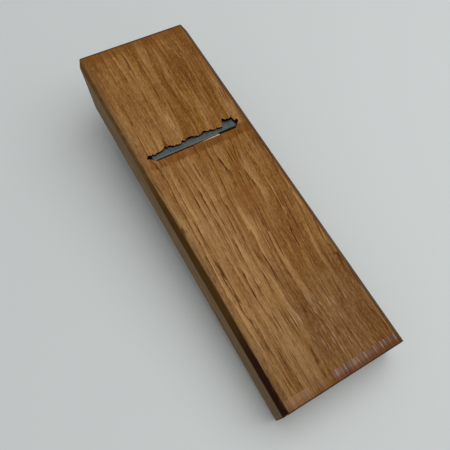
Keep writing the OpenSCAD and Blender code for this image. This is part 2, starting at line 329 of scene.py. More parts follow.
def wear(points):
    """Depth worn off the skin: slow waves, dents along the side edges and the marks of the hammer
    on the struck end, all at seeded places."""
    draw = np.random.default_rng(wear_seed)
    places = np.zeros((dent_count, 3))
    places[:, 0] = draw.uniform(struck_x, front_x, dent_count)
    sides = draw.choice([-1, 1], dent_count)
    places[:, 1] = sides * (side_y - draw.uniform(0, dent_band, dent_count))
    sizes = draw.uniform(*dent_sizes, dent_count)
    off = wave_depth * (1 + ripple(points * wave_stretch, wave_length, wave_seed))
    off += dents(points, places, sizes, draw.uniform(*dent_depths, dent_count))
    blows = np.full((hammer_count, 3), struck_x)
    blows[:, 1] = draw.uniform(*hammer_y, hammer_count)
    blows[:, 2] = draw.uniform(*hammer_z, hammer_count)
    sizes = draw.uniform(*hammer_sizes, hammer_count)
    return off + dents(points, blows, sizes, draw.uniform(*hammer_depths, hammer_count))


def sole_hollows(points):
    """Depth scraped off the sole: lower everywhere but on the strips at the struck end, in front of
    the mouth and at the front end, each with a wavering edge, and a little lower again on one pass
    of the scraper across the middle."""
    x = points[..., 0] + strip_waver * ripple(points, waver_length, waver_seed)
    y = points[..., 1]
    low = smooth(x, *struck_fall)
    low *= 1 - smooth(x, *mouth_rise) * (1 - smooth(x, *mouth_fall))
    low *= 1 - smooth(x, *front_rise)
    scrape = smooth(x, *scrape_fall) * smooth(y, *scrape_left) * (1 - smooth(y, *scrape_right))
    return (low * strip_step + scrape * scrape_step) * smooth(points[..., 2], *sole_skin)


def skin_grid():
    """Places on a box round the block, and the places on its spine that they are seen from. A row
    is a station along X, and a column is a place round a rectangle, which shrinks to a point at
    both ends."""
    y = spread((-side_y, 12), (-side_y + sole_edge, 86), (side_y - sole_edge, 12), (side_y, 0))
    down = spread((0, 12), (-sole_edge, 12), (back_z + back_edge, 12), (back_z, 0))
    y_back = spread((side_y, 10), (side_y - back_edge, 30), (back_edge - side_y, 10), (-side_y, 0))
    up = spread((back_z, 12), (back_z + back_edge, 12), (-sole_edge, 12), (0, 0))
    ring_y = np.concatenate([y, np.full_like(down, side_y), y_back, np.full_like(up, -side_y)])
    ring_z = np.concatenate([np.zeros_like(y), down, np.full_like(y_back, back_z), up])
    x = spread(*skin_stations)
    grown = np.concatenate([np.linspace(0, 1, struck_rows, endpoint=False), np.ones(len(x)),
                            np.linspace(0, 1, front_rows, endpoint=False)[::-1]])
    x = np.concatenate([np.full(struck_rows, struck_x), x, np.full(front_rows, front_x)])
    target = np.empty((len(x), len(ring_y), 3))
    target[..., 0] = x[:, None]
    target[..., 1] = grown[:, None] * ring_y
    target[..., 2] = spine_z + grown[:, None] * (ring_z - spine_z)
    origin = np.zeros_like(target)
    origin[..., 0] = np.clip(x, struck_x + spine_end, front_x - spine_end)[:, None]
    origin[..., 2] = spine_z
    return target, origin


def block_skin():
    """Closed skin of the block. Each ray from the spine goes as far as the nearest side, and where
    sides meet a power mean rounds the edge: reach = nearest times the sum over the sides of (reach
    over nearest) to the power of -crispness, to the power of -1 over the crispness. Wear and the
    scraped hollows of the sole are then taken off it."""
    target, origin = skin_grid()
    ray = target - origin
    sides = block_sides()
    fall, fall_off = fall_sides(target[:, 0, 0])
    speed = np.concatenate([ray @ sides[:, :3].T, (ray * fall[:, None, :]).sum(-1)[..., None]], -1)
    fall_room = fall_off[:, None] - (origin * fall[:, None, :]).sum(-1)
    room = np.concatenate([sides[:, 3] - origin @ sides[:, :3].T, fall_room[..., None]], -1)
    reach = np.where(speed > 1e-9, room / np.maximum(speed, 1e-9), 1e6)
    nearest = reach.min(axis=-1)
    crowd = ((reach / nearest[..., None]) ** -edge_crispness).sum(-1)
    points = origin + ray * (nearest * crowd ** (-1 / edge_crispness))[..., None]
    points -= ray / np.linalg.norm(ray, axis=-1, keepdims=True) * wear(points)[..., None]
    points[..., 2] -= sole_hollows(points)
    return points.reshape(-1, 3), tube_faces(*points.shape[:2])


def tube_faces(rows, columns):
    """Quads of a grid numbered row by row whose columns close on themselves."""
    i, j = np.meshgrid(np.arange(rows - 1), np.arange(columns), indexing="ij")
    k = (j + 1) % columns
    here, there = i * columns, (i + 1) * columns
    return np.stack([here + j, here + k, there + k, there + j], -1).reshape(-1, 4)


def lip_fracture():
    """Torn wood at the broken lip: a five-cornered profile carried across the mouth along the rim
    of the opening. Its upper side leans back from the rim by a flare that changes from fibre to
    fibre and is half as long at the two ends."""
    corners = node_points("dai")
    rim = corners[(corners[:, 2] > -lip_skin) & (np.abs(corners[:, 1]) < lip_half_y)
                  & (corners[:, 0] > lip_x[0]) & (corners[:, 0] < lip_x[1])]
    rim = np.unique(rim.round(6), axis=0)
    rim = rim[rim[:, 1].argsort()]
    y = np.linspace(rim[0, 1], rim[-1, 1], lip_columns)
    x = np.interp(y, rim[:, 1], rim[:, 0])
    draw = np.random.default_rng(lip_seed)
    fibre_y = np.linspace(y[0], y[-1], lip_fibres)
    fibres = np.interp(y, fibre_y, draw.uniform(0.3, 1, lip_fibres))
    hairs = draw.uniform(0.75, 1, lip_columns)
    inner = smooth(y, y[0], y[0] + lip_end) * (1 - smooth(y, y[-1] - lip_end, y[-1]))
    top = x - lip_flare * fibres * hairs * (0.5 + 0.5 * inner)
    foot = foot_z - foot_waver * draw.uniform(0, 1, lip_columns) - foot_fall * (-x - foot_start)
    above, step = np.full_like(y, lip_top), np.full_like(y, lip_step)
    section_x = np.stack([x + lip_cover, top, top, x + foot_x, x + lip_cover], 1)
    section_z = np.stack([above, above, step, foot, foot], 1)
    points = np.stack(np.broadcast_arrays(section_x, y[:, None], section_z), axis=-1)
    return points.reshape(-1, 3), tube_faces(lip_columns, 5)


def reworked(made, *steps):
    """The object with its mesh taken through steps, each of them given the open mesh."""
    opened = bmesh.new()
    opened.from_mesh(made.data)
    for step in steps:
        step(opened)
    opened.to_mesh(made.data)
    opened.free()
    return made


def merge_doubles(opened):
    """Joins the points of an open mesh that lie in the same place."""
    bmesh.ops.remove_doubles(opened, verts=opened.verts, dist=1e-7)


def close_solid(made):
    """Merges the doubles of a mesh, closes its open ends and turns its faces outwards."""
    return reworked(made, merge_doubles,
                    lambda opened: bmesh.ops.holes_fill(opened, edges=opened.edges),
                    lambda opened: bmesh.ops.recalc_face_normals(opened, faces=opened.faces))


def node_copy(name):
    """A copy of a CAD node's mesh with its loose triangles joined."""
    made = bpy.data.objects.new(name + "_copy", frame["nodes"][name].data.copy())
    bpy.context.scene.collection.objects.link(made)
    return reworked(made, merge_doubles)


def carve(made, tool, operation):
    """Cuts a solid by another and keeps the result as its mesh. The tool is used up."""
    cut = made.modifiers.new("cut", "BOOLEAN")
    cut.object, cut.operation, cut.solver = tool, operation, "MANIFOLD"
    whole = made.evaluated_get(bpy.context.evaluated_depsgraph_get())
    result = bpy.data.meshes.new_from_object(whole)
    made.modifiers.clear()
    made.data = result
    bpy.data.objects.remove(tool)


def show_edges(made, angle):
    """Shades a mesh smooth, apart from edges sharper than the angle in degrees."""
    made.data.shade_smooth()
    made.data.set_sharp_from_angle(angle=math.radians(angle))


# Tones of the oak: clean wood, the figure in it, wear on the sole, edges and ends, and light and
# shade painted on some of them
oak_dull, oak_pale = (136, 96, 32), (170, 126, 76)
cloud_brown, band_brown, band_pale = (118, 70, 12), (108, 62, 12), (184, 142, 94)
struck_brown, front_brown, right_brown = (112, 66, 14), (104, 74, 42), (98, 60, 20)
late_wood, ring_line = (110, 62, 8), (62, 28, 0)
streak_brown, streak_pale = (104, 62, 12), (180, 138, 86)
fibre_brown, fibre_pale = (92, 54, 8), (176, 136, 84)
long_ray, short_ray = (72, 34, 0), (76, 38, 0)
burnish_brown, crossing_brown, crossing_pale = (110, 60, 6), (66, 30, 0), (150, 94, 32)
# The dark line at the struck end is painted shade along its rounded edge.
struck_burnish, struck_edge_shade, scrape_brown = (108, 60, 6), (64, 48, 18), (118, 70, 24)
# The scuffs' pale is partly a painted sheen on rubbed wood.
scuff_sheen_pale, scratch_pale = (180, 146, 120), (208, 176, 150)
# The front strip's pink is partly a painted lilac sheen over its own tone.
front_left, front_sheen_pink, front_rose = (156, 118, 88), (128, 98, 88), (106, 72, 56)
front_line, front_tick = (78, 48, 30), (184, 154, 134)
front_rub, front_dirt = (92, 46, 10), (92, 50, 14)
wide_score, fine_score = (52, 30, 22), (62, 38, 28)
# The cheeks' grey is a painted reflection of the pale table.
cheek_reflection_grey, edge_grey = (100, 84, 58), (84, 66, 42)
# The dark front edge is painted shade.
right_edge, front_edge_shade = (70, 48, 24), (56, 34, 12)
stain_struck, stain_middle, stain_front = (88, 60, 22), (66, 43, 4), (30, 2, 0)
stain_cloud, stain_outer = (76, 54, 26), (96, 80, 56)
end_early, end_late, end_ray, end_pore = (120, 80, 42), (92, 58, 28), (148, 106, 62), (58, 34, 16)
# The black of the fracture is partly dark stain and partly painted shade in the gap under the lip.
bruise, fracture_stain_and_shade = (60, 36, 18), (14, 9, 6)

# Lighter and darker regions of the sole: middle and half size, share and tone. The first, a
# lighter patch left of the middle, is a painted sheen
sole_regions = (((60, -24), (76, 26), 0.5, (176, 138, 92)),
                ((16, 2), (28, 34), 0.45, (122, 72, 16)),
                ((-55, -24), (40, 16), 0.3, (176, 132, 80)),
                ((144, 18), (44, 22), 0.45, (92, 62, 36)),
                ((64, 2), (36, 44), 0.13, (186, 146, 100)))
# Rubbed places along the mouth's strip: middle and half width, and tone
mouth_rubs = ((-17, 10, (112, 62, 6)), (2, 8, (100, 54, 2)),
              (14, 5, (88, 46, 0)), (31, 9, (98, 52, 0)))
scuff_sheen_place, scratch_place = ((137, 7), (20, 22)), ((137, 8), (22, 24))
bruise_place = ((0, -12), (27, 5))

# The grain's waves and its lean to the left, with where the lean sets in
grain_length, grain_width, grain_bend = 60, 22, 6.0
grain_lean, lean_x, lean_y = 17.0, (-80, 150), (-45, 15)
ring_width, ring_warp, ring_jag = 6.6, 16.0, 2.4
end_ring_width, end_ring_warp, end_rays = 2.6, 7.0, 260.0
end_centre_y, end_centre_z = -46.0, -118.0
fleck_taper, fleck_least, fleck_extra = 1.3, 0.1, 0.26
oak_gloss, oak_bump = 0.06, (0.35, 0.0002)


def sums(tree, operation, *values):
    """The socket of a Math node on the given values or sockets."""
    return add_node(tree, "Math", dict(enumerate(values)), operation=operation).outputs[0]


def all_of(tree, *shares):
    """The product of several shares, each a value or a socket."""
    whole = shares[0]
    for share in shares[1:]:
        whole = sums(tree, "MULTIPLY", whole, share)
    return whole


def ramp(tree, value, low, high, start=0.0, end=1.0):
    """start up to low, end from high, and a smooth step between them."""
    return add_node(tree, "MapRange", {"Value": value, "From Min": low, "From Max": high,
                                       "To Min": start, "To Max": end},
                    interpolation_type="SMOOTHSTEP").outputs[0]


def between(tree, value, low, high, soft):
    """1 from low to high, with soft edges that reach outwards."""
    rise = ramp(tree, value, low - soft, low)
    return all_of(tree, rise, ramp(tree, value, high, high + soft, 1.0, 0.0))


def blend(tree, share, first, second):
    """Two colours, each a tone or a socket, mixed by a share: 0 for the first, 1 for the second."""
    first, second = (tone(*side) if isinstance(side, tuple) else side for side in (first, second))
    return add_node(tree, "Mix", {0: share, 6: first, 7: second}, data_type="RGBA").outputs[2]


def layered(tree, body, *layers):
    """The body colour with other colours laid over it in turn. A layer is a tone or a socket and
    its shares, whose product, from 0 to 1, is how much of it shows."""
    for colour, *shares in layers:
        body = blend(tree, all_of(tree, *shares), body, colour)
    return body


def scaled(tree, vector, lengths):
    """The vector with each of its parts divided by a length."""
    return add_node(tree, "VectorMath", {0: vector, 1: tuple(1 / length for length in lengths)},
                    operation="MULTIPLY").outputs[0]


def noise(tree, vector, lengths, detail=2.0, roughness=0.5):
    """Soft noise around 0.5 whose lumps have the given lengths."""
    return add_node(tree, "TexNoise", {"Vector": scaled(tree, vector, lengths), "Scale": 1.0,
                                       "Detail": detail, "Roughness": roughness}).outputs["Fac"]


def joined(tree, *parts):
    """The vector of two or three parts."""
    return add_node(tree, "CombineXYZ", dict(enumerate(parts))).outputs[0]


def parted(tree, vector):
    """The X, Y and Z of a vector."""
    return tuple(add_node(tree, "SeparateXYZ", {0: vector}).outputs)


def facing(tree):
    """The X, Y and Z of the way that the surface faces."""
    return parted(tree, add_node(tree, "TexCoord", {}).outputs["Normal"])


def millimetres(tree):
    """Object coordinates in millimetres."""
    place = add_node(tree, "TexCoord", {}).outputs["Object"]
    return add_node(tree, "VectorMath", {0: place, "Scale": 1000.0}, operation="SCALE").outputs[0]


def grain_space(tree):
    """Millimetres along, across and through the grain. The grain waves from side to side by a slow
    noise, and it leans over to the left towards the front end. On faces that look sideways Y and Z
    change places, so that the grain runs along the cheeks as well."""
    mm = millimetres(tree)
    x, y, z = parted(tree, mm)
    bend = noise(tree, mm, (grain_length, grain_width, grain_width), 1.0)
    over = all_of(tree, ramp(tree, x, *lean_x, 0.0, grain_lean), ramp(tree, y, *lean_y, 0.1, 1.0))
    moved = sums(tree, "MULTIPLY_ADD", bend, grain_bend, sums(tree, "ADD", y, over))
    flat = joined(tree, x, moved, z)
    turned = joined(tree, x, sums(tree, "MULTIPLY_ADD", bend, grain_bend, z), y)
    sideways = ramp(tree, sums(tree, "ABSOLUTE", facing(tree)[1]), 0.75, 0.85)
    grain = add_node(tree, "Mix", {0: sideways, 4: flat, 5: turned}, data_type="VECTOR").outputs[1]
    return x, y, z, grain


def flecks(tree, grain, lengths, share, soft):
    """Spindles along the grain: Voronoi cells in stretched space, of which only a share is kept. A
    spindle ends where its own half width = |y| + taper times x squared, from the cell's point."""
    space = scaled(tree, grain, lengths)
    cells = add_node(tree, "TexVoronoi", {"Vector": space, "Scale": 1.0, "Randomness": 0.9}).outputs
    pick, size, dark = add_node(tree, "SeparateColor", {0: cells["Color"]}).outputs
    offset = add_node(tree, "VectorMath", {0: space, 1: cells["Position"]}, operation="SUBTRACT")
    along, across, _ = parted(tree, offset.outputs[0])
    lens = sums(tree, "MULTIPLY_ADD", all_of(tree, along, along), fleck_taper,
                sums(tree, "ABSOLUTE", across))
    radius = sums(tree, "MULTIPLY_ADD", size, fleck_extra, fleck_least)
    inside = sums(tree, "DIVIDE", sums(tree, "SUBTRACT", radius, lens), soft)
    shown = add_node(tree, "Clamp", {0: inside}).outputs[0]
    kept = sums(tree, "GREATER_THAN", pick, 1 - share)
    return all_of(tree, shown, kept, sums(tree, "MULTIPLY_ADD", dark, 0.6, 0.4))


def patch(tree, x, y, middle, half):
    """A soft round patch: 1 at its middle, and 0 from one and a half times its half sizes out."""
    off_x, off_y = (sums(tree, "DIVIDE", sums(tree, "SUBTRACT", place, centre), size)
                    for place, centre, size in zip((x, y), middle, half))
    far = sums(tree, "MULTIPLY_ADD", off_x, off_x, all_of(tree, off_y, off_y))
    return ramp(tree, far, 0.0, 2.2, 1.0, 0.0)


def long_grain(tree, x, y, grain):
    """Wood cut along the grain. A ring is the fraction of the place across the grain, warped by
    slow noise, over the width of a ring. Each ring darkens towards a thin line that comes and goes.
    With the rings go slow clouds and bands, the sole's lighter and darker regions, streaks, fine
    fibres and the rays' flecks. Gives the colour, and the height of the surface with its pores."""
    _, grain_y, grain_z = parted(tree, grain)
    warp = noise(tree, grain, (80, 10, 10))
    jag = noise(tree, grain, (9, 1.8, 4), 3.0)
    across = sums(tree, "MULTIPLY_ADD", grain_z, 0.5, grain_y)
    across = sums(tree, "MULTIPLY_ADD", jag, ring_jag, across)
    across = sums(tree, "MULTIPLY_ADD", warp, ring_warp, across)
    ring = sums(tree, "FRACT", sums(tree, "DIVIDE", across, ring_width))
    shown = ramp(tree, noise(tree, grain, (30, 3, 6)), 0.42, 0.58)
    line = all_of(tree, ramp(tree, ring, 0.84, 0.95), ramp(tree, ring, 0.975, 1.0, 1.0, 0.0), shown)
    hue = noise(tree, grain, (60, 6, 12), 3.0)
    clouds = noise(tree, grain, (55, 11, 20), 3.0)
    bands = noise(tree, grain, (110, 11, 30))
    streaks = noise(tree, grain, (28, 1.5, 3), 3.0)
    fibres = noise(tree, grain, (2.0, 0.5, 0.5), 3.0)
    pores = noise(tree, grain, (3.0, 0.22, 0.22))
    long_rays = flecks(tree, grain, (22, 1.7, 30), 0.28, 0.16)
    short_rays = flecks(tree, grain, (7.5, 1.3, 20), 0.24, 0.2)
    strong = all_of(tree, ramp(tree, x, -40, 20, 0.6, 1.0), ramp(tree, x, 95, 135, 1.0, 0.65))
    # The first of these regions is a painted sheen.
    regions = [(colour, patch(tree, x, y, middle, half), share)
               for middle, half, share, colour in sole_regions]
    body = layered(
        tree, blend(tree, ramp(tree, hue, 0.38, 0.62), oak_dull, oak_pale),
        (cloud_brown, ramp(tree, clouds, 0.42, 0.66, 0.0, 0.75)),
        (band_brown, ramp(tree, bands, 0.38, 0.5, 0.9, 0.0)),
        (band_pale, ramp(tree, bands, 0.5, 0.62, 0.0, 0.8)),
        (struck_brown, ramp(tree, x, -60, 10, 0.5, 0.0)),
        (front_brown, ramp(tree, x, 85, 150, 0.0, 0.62)),
        *regions,
        (right_brown, ramp(tree, y, 0, side_y * 1000, 0.0, 0.22)),
        (late_wood, sums(tree, "POWER", ring, 1.7), strong, 0.75),
        (streak_brown, ramp(tree, streaks, 0.3, 0.5, 0.6, 0.0)),
        (streak_pale, ramp(tree, streaks, 0.5, 0.7, 0.0, 0.26)),
        (fibre_pale, ramp(tree, fibres, 0.5, 0.7, 0.0, 0.32)),
        (fibre_brown, ramp(tree, fibres, 0.3, 0.5, 0.45, 0.0)),
        (ring_line, line, strong, 0.95),
        (long_ray, long_rays, ramp(tree, x, -40, 20, 0.75, 1.0), 0.9),
        (short_ray, short_rays, 0.85))
    height = sums(tree, "SUBTRACT", ramp(tree, pores, 0.45, 0.7, 0.5, 0.0),
                  sums(tree, "ADD", long_rays, short_rays))
    return body, height


def end_grain(tree, y, z, grain):
    """Wood cut across the grain: growth rings round a far centre, straight rays and pores. A ring
    is the fraction of the distance from the centre, swung by slow noise, over a ring's width."""
    off_y, off_z = (sums(tree, "SUBTRACT", place, centre)
                    for place, centre in ((y, end_centre_y), (z, end_centre_z)))
    far = sums(tree, "SQRT", sums(tree, "MULTIPLY_ADD", off_y, off_y, all_of(tree, off_z, off_z)))
    swing = all_of(tree, noise(tree, grain, (40, 40, 40), 1.0), end_ring_warp)
    ring = sums(tree, "FRACT", sums(tree, "DIVIDE", sums(tree, "ADD", far, swing), end_ring_width))
    turn = all_of(tree, sums(tree, "ARCTAN2", off_y, off_z), end_rays)
    rays = noise(tree, joined(tree, turn, all_of(tree, far, 0.12)), (1, 1, 1))
    dots = noise(tree, grain, (2.0, 0.35, 0.35), 1.0)
    return layered(
        tree, blend(tree, ramp(tree, ring, 0.1, 0.95), end_early, end_late),
        (end_ray, ramp(tree, rays, 0.52, 0.62, 0.0, 0.45)),
        (end_pore, ramp(tree, dots, 0.56, 0.68, 0.0, 0.6)))


def worn_sole(tree, body, x, y, grain, blotch, on_sole):
    """Wear on the sole: the burnished strips at the mouth and the struck end, one pass of the
    scraper across the middle, and the scuffs, scratches and burnished strip by the front end. The
    scuffs' pale is partly a painted sheen, the front strip's right part has a painted lilac sheen
    over its own tone, and the dark line along the struck end's rounded edge is painted shade. A
    strip's edge is its place along X, moved to and fro by blotches."""
    front, struck = front_x * 1000, struck_x * 1000
    wander = sums(tree, "MULTIPLY_ADD", blotch, 2.4, x)
    ragged = sums(tree, "MULTIPLY_ADD", blotch, 5.0, x)
    lines = noise(tree, grain, (30, 0.7, 2), 3.0)
    mouth = all_of(tree, between(tree, ragged, 1.0, mouth_strip * 1000 + 2.1, 1.7), on_sole)
    rubs = [(colour, mouth, patch(tree, x, y, (3, middle), (12, half)), 0.6)
            for middle, half, colour in mouth_rubs]
    strip = all_of(tree, ramp(tree, x, front - 7.1, front - 6.8), on_sole)
    right_part = all_of(tree, strip, ramp(tree, y, -6.6, -5.6))
    worn = all_of(tree, strip, ramp(tree, wander, front - 3.4, front - 0.4))
    sheen_pink = blend(tree, ramp(tree, y, 4, 28), front_sheen_pink, front_rose)
    return layered(
        tree, body,
        (burnish_brown, mouth, 0.2),
        *rubs,
        (crossing_brown, mouth, flecks(tree, grain, (12, 3.0, 30), 0.75, 0.12), 0.9),
        (crossing_pale, mouth, ramp(tree, lines, 0.48, 0.62, 0.0, 0.35)),
        (struck_burnish, ramp(tree, wander, struck + 6, struck + 11, 1.0, 0.0), on_sole, 0.5),
        # Painted shade: a dark line along the struck end's rounded edge.
        (struck_edge_shade, ramp(tree, x, struck + 0.7, struck + 1.7, 1.0, 0.0), 0.85),
        (scrape_brown, ramp(tree, x, scrape_start * 1000, scrape_start * 1000 + 0.5), on_sole,
         ramp(tree, x, 50, 76, 1.0, 0.0), between(tree, y, -12, 18, 2.0), 0.3),
        # Partly painted sheen: pale scuffs that stand in for light caught by the rubbed wood.
        (scuff_sheen_pale, flecks(tree, grain, (9, 2.4, 30), 0.5, 0.3),
         patch(tree, x, y, *scuff_sheen_place), on_sole, 0.6),
        (scratch_pale, flecks(tree, grain, (12, 1.1, 30), 0.14, 0.25),
         patch(tree, x, y, *scratch_place), on_sole, 0.85),
        (front_left, strip, ramp(tree, y, -22.4, -21.8, 1.0, 0.0), 0.45),
        # Painted sheen: a lilac cast laid over the right part of the front strip.
        (sheen_pink, right_part, ramp(tree, blotch, 0.35, 0.6, 0.5, 0.9)),
        (front_line, strip, ramp(tree, lines, 0.34, 0.5, 0.6, 0.0)),
        (front_tick, right_part, ramp(tree, lines, 0.54, 0.68, 0.0, 0.7)),
        (front_rub, worn, right_part, 0.65),
        (front_dirt, worn, 0.35),
        (wide_score, right_part, between(tree, y, 3.0, 3.4, 0.3), 0.8),
        (fine_score, right_part, between(tree, y, 0.9, 1.1, 0.3), 0.6))


def stained_and_shaded_edges(tree, body, x, y, z, blotch, on_sole):
    """Cheeks greyed by a painted reflection of the pale table, and a dark stain in the left
    chamfer, which spills a little way onto the sole and turns from brown to near black towards the
    front end. The front edge is darkened by painted shade. The distance past a chamfer's inner edge
    = the distance from the cheek, plus the depth under the sole, less the chamfer's width."""
    front, side = front_x * 1000, side_y * 1000
    chamfer = sums(tree, "MULTIPLY_ADD", x, 1.2 / 270, 2.34)
    left = sums(tree, "SUBTRACT", sums(tree, "SUBTRACT", sums(tree, "ADD", y, side), z), chamfer)
    right = sums(tree, "SUBTRACT", sums(tree, "SUBTRACT", side, y), sums(tree, "ADD", z, 2.4))
    stain = blend(tree, ramp(tree, x, 0, 35), stain_struck, stain_middle)
    stain = layered(
        tree, stain,
        (stain_cloud, ramp(tree, blotch, 0.5, 0.65, 0.0, 0.5)),
        (stain_front, ramp(tree, x, 104, 142)),
        (stain_outer, ramp(tree, sums(tree, "ADD", z, chamfer), 0.2, 0.9, 0.85, 0.0),
         ramp(tree, x, -20, 45, 1.0, 0.0)))
    wider, narrower = ramp(tree, x, -20, 90, -0.2, 0.35), ramp(tree, x, 105, 130, 0.0, 0.4)
    spill = sums(tree, "MULTIPLY_ADD", blotch, 0.8, sums(tree, "SUBTRACT", wider, narrower))
    stained = ramp(tree, sums(tree, "SUBTRACT", left, spill), -0.15, 0.5, 0.96, 0.0)
    return layered(
        tree, body,
        # Painted reflection: the cheeks greyed as if they mirrored the pale table.
        (cheek_reflection_grey, ramp(tree, sums(tree, "ABSOLUTE", y), side - 0.5, side - 0.15), 0.62),
        (edge_grey, ramp(tree, y, 2.8 - side, 8.5 - side, 0.5, 0.0), on_sole),
        (stain, stained),
        (right_edge, ramp(tree, right, 0.6, 1.8, 1.0, 0.0), 0.8),
        # Painted shade: a dark band along the rounded front edge.
        (front_edge_shade, ramp(tree, x, front - 1.0, front - 0.7), 0.8))


def dress(tree, finish, body, height, strength, depth):
    """Gives the shader its colour, and its bumps by their height, strength and depth in metres."""
    tree.links.new(body, finish.inputs["Base Color"])
    bump = add_node(tree, "Bump", {"Strength": strength, "Distance": depth, "Height": height})
    tree.links.new(bump.outputs[0], finish.inputs["Normal"])


def oak():
    """Oak, long grain on the sides and end grain on the ends, with what use has added: the wear on
    the sole, the stained edges, the bruised struck end and the black of the broken lip. Light and
    shade are painted in as well: the grey reflection on the cheeks, dark shade along the ends'
    edges, and the lip's black is partly painted shade in the gap under it."""
    look, tree, finish = new_material("oak", 0.5)
    finish.inputs["Specular IOR Level"].default_value = oak_gloss
    x, y, z, grain = grain_space(tree)
    on_sole = ramp(tree, z, -0.9, -0.5)
    blotch = noise(tree, grain, (9, 4, 9), 3.0)
    body, height = long_grain(tree, x, y, grain)
    body = worn_sole(tree, body, x, y, grain, blotch, on_sole)
    body = stained_and_shaded_edges(tree, body, x, y, z, blotch, on_sole)
    struck = struck_x * 1000
    body = layered(
        tree, body,
        (end_grain(tree, y, z, grain),
         ramp(tree, sums(tree, "ABSOLUTE", facing(tree)[0]), 0.4, 0.6),
         sums(tree, "SUBTRACT", 1.0, on_sole)),
        (bruise, patch(tree, y, z, *bruise_place),
         ramp(tree, x, struck + 0.3, struck + 2, 0.75, 0.0),
         ramp(tree, noise(tree, grain, (4, 4, 4)), 0.44, 0.56)),
        # Partly painted shade: the torn walls of the lip blackened for the dark gap under it, with
        # stain.
        (fracture_stain_and_shade, between(tree, x, -12.5, 0.3, 0.3), between(tree, y, -36, 36, 0.5),
         between(tree, z, -3.0, -0.36, 0.14)))
    dress(tree, finish, body, height, *oak_bump)
    return look


block = close_solid(new_mesh_object("oak_block", *block_skin()))
carve(block, node_copy("dai"), "INTERSECT")
carve(block, close_solid(new_mesh_object("fracture", *lip_fracture())), "DIFFERENCE")
show_edges(block, crease_angle)
block.data.materials.clear()
block.data.materials.append(oak())
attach(block, "block")
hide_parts("dai")

# Splinters
# Two bits of pale torn oak at the mouth: a sliver that has lifted off the front lip and lies along
# the slit, and a hair of wood that hangs from the broken lip across the bevel.
splinter_rows, splinter_columns, splinter_wavers, splinter_seed = 60, 12, 20, 21
torn_dark, torn_pale, torn_fibre = (84, 66, 42), (226, 198, 160), (150, 110, 66)

# Name, start, end, width, thickness and how the width grows
splinters = (
    ("sliver", (-0.00035, -0.0040, -0.00045), (-0.0001, 0.0170, -0.00022), 0.0012, 0.00022, 0.6),
    ("hair", (-0.0031, -0.0180, -0.0006), (-0.0070, -0.0189, -0.0004), 0.0003, 0.00012, 0.3))


def splinter(start, end, width, thick, taper):
    """A strip from start to end. Its section is an ellipse of width by thick, and the width grows
    from nothing as the taper's power of the way along it, with a seeded waver of its edges."""
    way = np.linspace(0, 1, splinter_rows)
    turn = np.linspace(0, 2 * math.pi, splinter_columns, endpoint=False)
    ahead = np.array(end) - start
    middle = np.array(start) + way[:, None] * ahead
    draw = np.random.default_rng(splinter_seed)
    wavers = draw.uniform(0.75, 1, splinter_wavers)
    waver = np.interp(way, np.linspace(0, 1, splinter_wavers), wavers)
    half = 0.5 * width * way ** taper * waver
    side = np.cross(ahead, (0, 0, 1))
    side /= np.linalg.norm(side)
    points = middle[:, None, :] + half[:, None, None] * np.cos(turn)[None, :, None] * side
    points[..., 2] += 0.5 * thick * np.sin(turn) * (0.25 + 0.75 * way[:, None] ** taper)
    return points.reshape(-1, 3), tube_faces(splinter_rows, splinter_columns)


def torn_oak():
    """Freshly torn wood, pale where it is thick and darker where it runs out, with fine fibres."""
    look, tree, finish = new_material("torn_oak", 0.6)
    mm = millimetres(tree)
    y = parted(tree, mm)[1]
    fibre = noise(tree, mm, (0.15, 3.0, 0.15), 3.0)
    body = layered(tree, blend(tree, ramp(tree, y, 1, 12), torn_dark, torn_pale),
                   (torn_fibre, ramp(tree, fibre, 0.4, 0.7, 0.0, 0.4)))
    tree.links.new(body, finish.inputs["Base Color"])
    return look


for name, *form in splinters:
    piece = close_solid(new_mesh_object("mouth_" + name, *splinter(*form)))
    piece.data.shade_smooth()
    piece.data.materials.append(torn_oak())
    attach(piece, "block")

# Blade
# A thick body of soft iron, forged and scaled, with a hard steel layer welded to its flat face. It
# is ground to one bevel, which shows in the mouth, and wedged in the two grooves of the block.
flat_angle = math.radians(40.26)
blade_head = 80.9
land_height = 0.49
body_ease, layer_ease = 0.0006, 0.00006
flat_turn, edge_turn = math.radians(0.5), math.radians(30)
iron_metal, iron_depth, steel_metal, steel_bump = 0.8, 0.0003, 0.9, (0.25, 0.0001)
iron_scale, iron_worn = (50, 50, 52), (84, 82, 80)
rust_brown, pit_black, rubbed_bright = (86, 60, 42), (34, 28, 24), (136, 134, 130)
ground_dark, ground_pale = (76, 82, 82), (92, 97, 96)
steel_dark, steel_pale, steel_edge = (82, 89, 90), (94, 99, 97), (106, 107, 101)
hollow_dark, hollow_pale = (44, 46, 50), (72, 74, 78)
# The last two blacks are painted shade: in the slit in front of the edge and in the grooves.
tea_stain, slit_shade_black, groove_shade_black = (104, 84, 62), (10, 8, 7), (12, 9, 7)


def eased(node, name, look, width, segments=2):
    """A CAD node's shape with its flat faces whole and its edges rounded over by a width, in a
    material and on the body that the node belongs to."""
    made = reworked(node_copy(node), lambda opened: bmesh.ops.dissolve_limit(
        opened, angle_limit=flat_turn, verts=opened.verts, edges=opened.edges))
    made.name = name
    ease = made.modifiers.new("eased_edges", "BEVEL")
    ease.width, ease.segments, ease.limit_method = width, segments, "ANGLE"
    ease.angle_limit = edge_turn
    made.data.materials.clear()
    made.data.materials.append(look)
    bodies = frame["record"]["behaviour"]["bodies"]
    body = next(each for each, members in bodies.items() if node in members)
    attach(made, body)
    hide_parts(node)
    return made


